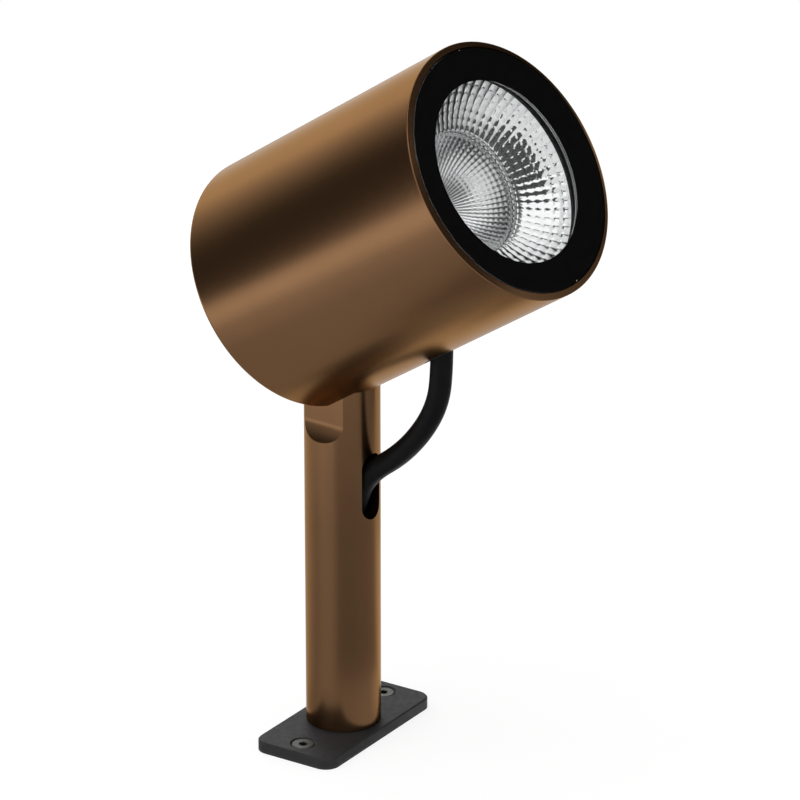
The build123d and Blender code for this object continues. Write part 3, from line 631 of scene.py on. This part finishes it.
def circuit_board():
    """Green solder mask over faint copper tracks."""
    look = Finish("circuit_board")
    tracks = look.grit(260.0)
    look.colours(tracks, (0.15, (0.05, 0.27, 0.12)), (0.22, (0.02, 0.16, 0.07)), (0.8, (0.03, 0.2, 0.09)))
    look.roughness(look.cloud(500.0), 0.3, 0.42)
    look.relief(tracks, 3e-5)
    return look.material


def led_substrate():
    """White mask on the light source's board."""
    look = Finish("led_substrate")
    look.tones(look.cloud(300.0), (0.78, 0.78, 0.77), (0.86, 0.86, 0.85))
    look.roughness(look.cloud(800.0), 0.3, 0.4)
    look.relief(look.cloud(1500.0), 5e-6)
    return look.material


def led_phosphor():
    """Yellow silicone over the light source."""
    look = Finish("led_phosphor")
    look.colours(look.grit(1500.0), (0.1, (0.80, 0.60, 0.12)), (0.7, (0.95, 0.80, 0.28)))
    look.roughness(look.cloud(900.0), 0.2, 0.32)
    look.relief(look.cloud(1500.0), 8e-6)
    return look.material


def thermal_silicone():
    """Grey-blue gap pad with a woven backing."""
    look = Finish("thermal_silicone")
    weave = look.grit(1200.0)
    look.colours(weave, (0.1, (0.36, 0.41, 0.46)), (0.6, (0.47, 0.52, 0.57)))
    look.roughness(look.cloud(700.0), 0.6, 0.72)
    look.relief(weave, 2e-5)
    return look.material


def ferrite():
    """Sintered ferrite, dark and slightly gritty."""
    look = Finish("ferrite")
    look.tones(look.cloud(400.0), (0.06, 0.06, 0.064), (0.095, 0.095, 0.10))
    look.roughness(look.cloud(900.0), 0.5, 0.68)
    look.relief(look.grit(2200.0), 2e-5)
    return look.material


def capacitor_sleeve():
    """Dark blue shrink sleeve with fine shrink lines."""
    look = Finish("capacitor_sleeve")
    look.tones(look.cloud(220.0), (0.022, 0.03, 0.075), (0.036, 0.048, 0.105))
    look.roughness(look.cloud(600.0), 0.22, 0.34)
    look.relief(look.cloud(1.0, 2.0, look.stretched((1800.0, 1800.0, 200.0))), 8e-6)
    return look.material


# The reflector's cup is duller than its bowl, and its back is bare plastic, whose colour also paints shade on the
# rim ring's wall between the ribs
CUP_HAZE = 0.16
BARE_PLASTIC_AND_PAINTED_SHADE = (0.012, 0.012, 0.013, 1.0)


def reflector_silver():
    """Vacuum-metallised plastic: nearly a mirror, with a faint haze that grows with the attribute frost.
    Where the attribute bare_and_painted_shade is 1 the black plastic shows: on the reflector's bare flange and
    back, and for the most part on the rim ring's wall between its ribs, where it is painted shade."""
    look = Finish("reflector_silver")
    tone = look.tones(look.cloud(140.0), (0.87, 0.87, 0.88), (0.93, 0.93, 0.935))
    haze = look.roughness(look.cloud(500.0), 0.05, 0.09)
    look.relief(look.cloud(900.0, 2.0), 1e-6)
    dulled = look.node("ShaderNodeMath", operation="MULTIPLY_ADD")
    dulled.inputs[1].default_value = CUP_HAZE
    look.link(look.node("ShaderNodeAttribute", attribute_name="frost").outputs["Fac"], dulled.inputs[0])
    look.link(haze, dulled.inputs[2])
    look.link(dulled.outputs[0], look.shader.inputs["Roughness"])
    # This attribute carries the reflector's real bare plastic and the rim ring's painted shade between its ribs
    bare_and_painted_shade = look.node("ShaderNodeAttribute", attribute_name="bare_and_painted_shade").outputs["Fac"]
    silver = look.node("ShaderNodeMath", operation="SUBTRACT")
    silver.inputs[0].default_value = 1.0
    look.link(bare_and_painted_shade, silver.inputs[1])
    look.link(silver.outputs[0], look.shader.inputs["Metallic"])
    painted = look.node("ShaderNodeMix", data_type="RGBA")
    painted.inputs["B"].default_value = BARE_PLASTIC_AND_PAINTED_SHADE
    look.link(bare_and_painted_shade, painted.inputs["Factor"])
    look.link(tone, painted.inputs["A"])
    look.link(painted.outputs["Result"], look.shader.inputs["Base Color"])
    return look.material


def black_enamel():
    """Glossy black print behind the glass."""
    look = Finish("black_enamel")
    look.set(Specular_IOR_Level=0.0)
    look.tones(look.cloud(200.0), (0.0025, 0.0027, 0.0026), (0.0038, 0.0042, 0.0040))
    look.roughness(look.cloud(500.0), 0.3, 0.4)
    return look.material


def clear_glass():
    """Clear tempered glass, faintly green, with a trace of haze."""
    look = Finish("clear_glass")
    look.set(IOR=1.5, Transmission_Weight=1.0)
    look.tones(look.cloud(40.0), (0.97, 0.985, 0.98), (0.985, 0.992, 0.988))
    look.roughness(look.cloud(60.0), 0.0, 0.006)
    return look.material


finishes = {
    "bronze_finish": bronze_finish(),
    "plate_finish": plate_finish(),
    "steel": bright_zinc(),
    "bearing_brass": bearing_brass(),
    "cable_jacket": cable_jacket(),
    "black_rubber": black_rubber(),
    "black_plastic": black_plastic(),
    "white_plastic": white_plastic(),
    "bare_aluminium": bare_aluminium(),
    "circuit_board": circuit_board(),
    "led_substrate": led_substrate(),
    "led_phosphor": led_phosphor(),
    "thermal_silicone": thermal_silicone(),
    "ferrite": ferrite(),
    "capacitor_sleeve": capacitor_sleeve(),
    "reflector_silver": reflector_silver(),
    "black_enamel": black_enamel(),
    "clear_glass": clear_glass(),
}


def wear(piece, material):
    """Puts a finish into each of the piece's material slots."""
    if not piece.material_slots:
        piece.data.materials.append(material)
    for place in piece.material_slots:
        place.material = material


for subpart in frame["record"]["subparts"]:
    wear(frame["nodes"][subpart["node"]], finishes[subpart["material_slot"]])
wear(cable, finishes["cable_jacket"])
wear(reflector, finishes["reflector_silver"])
# The rim ring's wall between its ribs takes painted shade from this finish's attribute
wear(rim_ring, finishes["reflector_silver"])
wear(pane, finishes["clear_glass"])
wear(screws, screw_steel())

# Studio: white surroundings, a floor that takes the shadow, soft lamps and cards for the reflections
WHITE = (1.0, 1.0, 1.0, 1.0)
FLOOR_RADIUS = 0.9
FLOOR_AROUND = 96
FLOOR_COLOUR = (0.9, 0.9, 0.9, 1.0)
FLOOR_SEEN_COLOUR = (0.3, 0.3, 0.3, 1.0)
FLOOR_GLOW = 0.80
SURROUND_LIGHT = 0.55
TOP_BOX_PLACE = np.array([-0.35, 0.25, 1.3])
TOP_BOX_TARGET = np.array([0.0, 0.0, 0.1])
BACK_BOX_TARGET = np.array([0.0, 0.0, 0.2])
BACK_BOX_DISTANCE = 0.95
BACK_BOX_AZIMUTH = 142.0
BACK_BOX_HEIGHT = 2.0
CARD_FACETS = 48
CARD_DISTANCE = 1.0
CARD_LIFT = 0.001
BARREL_HEIGHT = 0.22


def heading(azimuth, height):
    """Direction towards an azimuth, 0 in front of the lamp's plate and turning right, and a height."""
    turned, raised = radians(azimuth), radians(height)
    return np.array([sin(turned) * cos(raised), -cos(turned) * cos(raised), sin(raised)])


def seen_directly(tree):
    """1 for rays from the camera, from gloss and through glass, and 0 for the light on matt surfaces."""
    rays = tree.nodes.new("ShaderNodeLightPath").outputs
    most = rays["Is Camera Ray"]
    for other in ("Is Glossy Ray", "Is Transmission Ray"):
        either = tree.nodes.new("ShaderNodeMath")
        either.operation = "MAXIMUM"
        tree.links.new(most, either.inputs[0])
        tree.links.new(rays[other], either.inputs[1])
        most = either.outputs[0]
    return most


def where_seen(tree, lit, seen, output):
    """Gives the output the seen shader for rays that show it, and the lit one for the other light."""
    chosen = tree.nodes.new("ShaderNodeMixShader")
    tree.links.new(seen_directly(tree), chosen.inputs["Fac"])
    tree.links.new(lit, chosen.inputs[1])
    tree.links.new(seen, chosen.inputs[2])
    tree.links.new(chosen.outputs["Shader"], tree.nodes[output].inputs["Surface"])


def empty_material(name):
    """Material with nothing but its output, for the studio's own surfaces."""
    material = bpy.data.materials.new(name)
    material.use_nodes = True
    material.node_tree.nodes.remove(material.node_tree.nodes["Principled BSDF"])
    return material


def white_surroundings():
    """World that is white where it is seen and plainer where it only lights."""
    world = bpy.data.worlds.new("white_surroundings")
    bpy.context.scene.world = world
    world.use_nodes = True
    tree = world.node_tree
    lit = tree.nodes["Background"]
    lit.inputs["Color"].default_value = WHITE
    lit.inputs["Strength"].default_value = SURROUND_LIGHT
    seen = tree.nodes.new("ShaderNodeBackground")
    seen.inputs["Color"].default_value = WHITE
    seen.inputs["Strength"].default_value = 1.0
    where_seen(tree, lit.outputs["Background"], seen.outputs["Background"], "World Output")


def studio_floor():
    """White round floor under the plate. Where it is seen it glows nearly white and takes a faint shadow, and
    for the light on matt surfaces it is plain pale paint."""
    turn = np.linspace(0, 2 * pi, FLOOR_AROUND, endpoint=False)
    rings = np.array([0.0, FLOOR_RADIUS])[:, None]
    points = np.stack([rings * np.cos(turn), rings * np.sin(turn), 0 * rings * turn], axis=-1)
    mesh = skin("studio_floor", points)
    joined_poles(mesh)
    floor = put_in_scene("studio_floor", mesh)
    material = empty_material("white_floor")
    tree = material.node_tree
    paint = tree.nodes.new("ShaderNodeBsdfDiffuse")
    paint.inputs["Color"].default_value = FLOOR_COLOUR
    shade = tree.nodes.new("ShaderNodeBsdfDiffuse")
    shade.inputs["Color"].default_value = FLOOR_SEEN_COLOUR
    glow = tree.nodes.new("ShaderNodeEmission")
    glow.inputs["Strength"].default_value = FLOOR_GLOW
    seen = tree.nodes.new("ShaderNodeAddShader")
    tree.links.new(shade.outputs["BSDF"], seen.inputs[0])
    tree.links.new(glow.outputs["Emission"], seen.inputs[1])
    where_seen(tree, paint.outputs["BSDF"], seen.outputs["Shader"], "Material Output")
    wear(floor, material)


def soft_box(name, place, target, width, height, brightness):
    """Area lamp of that brightness per unit of its face, looking from its place to its target. It lights
    matt surfaces and shows nowhere itself."""
    lamp = bpy.data.lights.new(name, "AREA")
    lamp.shape = "RECTANGLE"
    lamp.size, lamp.size_y = width, height
    lamp.energy = brightness * pi * width * height
    box = put_in_scene(name, lamp)
    away = place - target
    away /= np.linalg.norm(away)
    level = np.cross(UPWARD, away)
    level /= np.linalg.norm(level)
    set_up(box, level, np.cross(away, level), away, place)
    box.visible_camera = False
    box.visible_glossy = False
    box.visible_transmission = False


def card(name, first, last, stops, through_glass=True):
    """Bent card between two edges of points, which shows only in reflections and, if told so, through glass.
    Its brightness goes through the stops along the edges, from 0 at their first point to 1 at their last."""
    mesh = skin(name, np.stack([first, last]), round_about=False)
    share = np.linspace(0, 1, len(first))
    lengths = mesh.uv_layers.new(name="along")
    ends = np.stack([share[:-1], share[1:], share[1:], share[:-1]], axis=-1)
    lengths.data.foreach_set("uv", np.stack([ends, 0 * ends], axis=-1).ravel())
    shown = put_in_scene(name, mesh)
    material = empty_material(name)
    tree = material.node_tree
    along = tree.nodes.new("ShaderNodeSeparateXYZ")
    tree.links.new(tree.nodes.new("ShaderNodeTexCoord").outputs["UV"], along.inputs["Vector"])
    ramp = ramp_through(tree, [(place, (level, level, level)) for place, level in stops])
    glow = tree.nodes.new("ShaderNodeEmission")
    tree.links.new(along.outputs["X"], ramp.inputs["Fac"])
    tree.links.new(ramp.outputs["Color"], glow.inputs["Color"])
    tree.links.new(glow.outputs["Emission"], tree.nodes["Material Output"].inputs["Surface"])
    wear(shown, material)
    shown.visible_camera = False
    shown.visible_diffuse = False
    shown.visible_shadow = False
    shown.visible_transmission = through_glass


def bent_edge(start, end, distance, height):
    """Points at one distance, and at one height or a height each, round the post between two azimuths."""
    turned = np.radians(np.linspace(start, end, CARD_FACETS))
    return np.stack([distance * np.sin(turned), -distance * np.cos(turned), height + 0 * turned], axis=-1)


def stops_by_azimuth(levels):
    """Azimuth and level pairs, turned into shares of the way round and levels."""
    first, last = levels[0][0], levels[-1][0]
    return [((azimuth - first) / (last - first), level) for azimuth, level in levels]


def wall_card(name, low, high, levels, distance=CARD_DISTANCE, through_glass=True, lean=0.0, droop=0.0):
    """Upright card round the lamp, between two angles above the barrel's height. lean turns the start of its
    upper edge, and droop is what that edge's angle gains towards its end."""
    start, end = levels[0][0], levels[-1][0]
    upper = np.radians(np.linspace(high, high + droop, CARD_FACETS))
    edges = [
        bent_edge(start, end, distance, BARREL_HEIGHT + distance * np.tan(radians(low))),
        bent_edge(start + lean, end, distance, BARREL_HEIGHT + distance * np.tan(upper)),
    ]
    card(name, *edges, stops_by_azimuth(levels), through_glass)


def floor_card(name, near, far, levels):
    """Card on the floor, between two distances from the post."""
    edges = [bent_edge(levels[0][0], levels[-1][0], distance, CARD_LIFT) for distance in (near, far)]
    card(name, *edges, stops_by_azimuth(levels))


white_surroundings()
studio_floor()
soft_box("top_soft_box", TOP_BOX_PLACE, TOP_BOX_TARGET, width=1.2, height=1.2, brightness=1.1)
soft_box("back_soft_box", BACK_BOX_DISTANCE * heading(BACK_BOX_AZIMUTH, BACK_BOX_HEIGHT) + BACK_BOX_TARGET,
         BACK_BOX_TARGET, width=0.55, height=0.6, brightness=1.8)

# The cards' levels are pairs of azimuth and brightness
wall_card("left_dark_wall", low=-16.0, high=62.0, distance=0.8,
          levels=[(168, 1.1), (176, 0.78), (184, 0.45), (192, 0.22), (200, 0.07), (226, 0.05), (234, 0.3)])
wall_card("back_bright_wall", low=-6.0, high=40.0,
          levels=[(104, 1.2), (115, 1.4), (150, 1.4), (163, 1.5), (172, 1.1)])
wall_card("left_wall", low=3.0, high=48.0, distance=1.02,
          levels=[(-110, 0.7), (-80, 0.8), (-65, 0.95), (-20, 0.95)])
wall_card("front_dark_wall", low=3.0, high=52.0, lean=-30.0, droop=-13.0,
          levels=[(-24, 0.07), (40, 0.05), (112, 0.03)])
wall_card("front_high_wall", low=38.0, high=74.0, through_glass=False,
          levels=[(2, 0.05), (96, 0.05)])
wall_card("high_dark_wall", low=42.0, high=57.0, distance=1.05,
          levels=[(8, 0.3), (20, 0.15), (58, 0.3)])
wall_card("high_bright_wall", low=50.0, high=84.0, distance=1.2,
          levels=[(-95, 0.8), (-75, 1.0), (-60, 1.3), (5, 1.3), (40, 1.1), (125, 0.9)])
wall_card("front_low_wall", low=-13.0, high=3.0,
          levels=[(-80, 0.8), (-50, 0.85), (-10, 0.92), (5, 0.75), (20, 0.5), (35, 0.28), (80, 0.1)])
floor_card("left_near_floor", near=0.03, far=0.26,
           levels=[(-182, 0.95), (-160, 0.6), (-140, 0.44), (-120, 0.55), (-98, 0.56)])
floor_card("left_floor", near=0.26, far=0.41,
           levels=[(-182, 0.95), (-160, 0.65), (-140, 0.6), (-120, 0.72), (-98, 0.6)])
floor_card("front_floor", near=0.07, far=0.36,
           levels=[(-98, 0.56), (-86, 0.52), (-66, 0.28), (-30, 0.28), (20, 0.36), (45, 0.44), (62, 0.9)])
floor_card("front_mid_floor", near=0.36, far=0.55,
           levels=[(-80, 0.6), (-10, 0.55), (10, 0.45), (30, 0.28), (60, 0.12)])
floor_card("front_far_floor", near=0.55, far=0.98,
           levels=[(-80, 0.7), (-10, 0.85), (10, 0.65), (30, 0.5), (60, 0.15)])
floor_card("front_near_floor", near=0.02, far=0.07,
           levels=[(-98, 0.56), (-40, 0.5), (20, 0.6), (62, 1.2)])
floor_card("right_near_floor", near=0.05, far=0.2,
           levels=[(62, 1.2), (80, 1.3), (120, 1.1)])
floor_card("left_far_floor", near=0.44, far=0.8,
           levels=[(-172, 0.9), (-160, 1.4), (-110, 1.4), (-98, 0.7)])

bpy.context.scene.view_settings.view_transform = "Standard"
